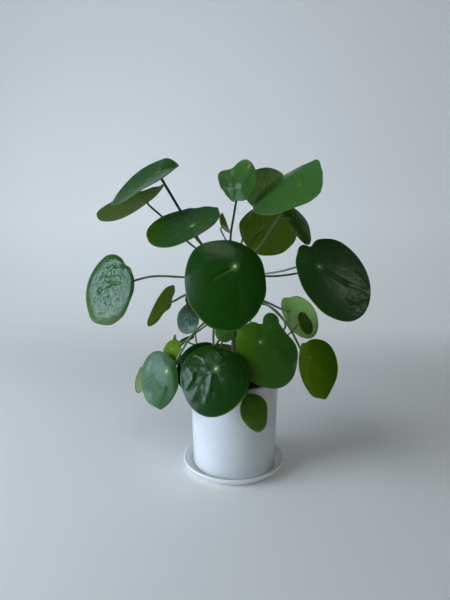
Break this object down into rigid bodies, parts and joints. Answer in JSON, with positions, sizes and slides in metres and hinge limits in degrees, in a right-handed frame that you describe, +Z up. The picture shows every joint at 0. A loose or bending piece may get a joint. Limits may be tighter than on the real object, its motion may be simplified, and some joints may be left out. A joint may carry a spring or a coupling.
{
  "type": "potted plant",
  "caption": "Round-leaved upright house plant with long-stalked shield-shaped leaves on a short woody stem, standing in a straight-sided glazed pot on a saucer.",
  "frame": {"origin": "centre of the saucer's flat underside, on the surface it stands on, below the middle of the trunk", "axes": "+Z up along the trunk and the pot's axis; -Y towards the viewer of the picture; +X to that viewer's right"},
  "size_m": [0.344, 0.243, 0.3759],
  "materials": {
    "pot": "gloss",
    "saucer": "gloss",
    "soil": "matte",
    "trunk": "matte",
    "shoot": "satin",
    "leaf": "satin",
    "young_leaf": "satin"
  },
  "bodies": {
    "root": {"leaf_back_centre": "leaf", "leaf_behind_centre": "leaf", "leaf_behind_front": "leaf", "leaf_behind_left": "leaf", "leaf_behind_low": "leaf", "leaf_behind_right": "leaf", "leaf_far_left": "leaf", "leaf_front": "leaf", "leaf_left": "leaf", "leaf_low_behind": "leaf", "leaf_low_centre": "leaf", "leaf_low_front": "leaf", "leaf_low_left": "leaf", "leaf_low_right": "leaf", "leaf_middle_left": "leaf", "leaf_narrow_left": "leaf", "leaf_narrow_right": "leaf", "leaf_newest": "young_leaf", "leaf_pale_right": "leaf", "leaf_right": "leaf", "leaf_top_back": "leaf", "leaf_top_centre": "leaf", "leaf_upper_left": "leaf", "leaf_upper_right": "leaf", "leaf_yellow": "young_leaf", "leaf_young_blue": "young_leaf", "leaf_young_dark": "young_leaf", "leaf_young_level": "young_leaf", "leaf_young_pale": "young_leaf", "leaf_young_peek": "young_leaf", "leaf_young_pot": "young_leaf", "leaf_young_under": "young_leaf", "pot": "pot", "saucer": "saucer", "shoot_left": "shoot", "shoot_right": "shoot", "soil": "soil", "trunk": "trunk"}
  },
  "joints": []
}
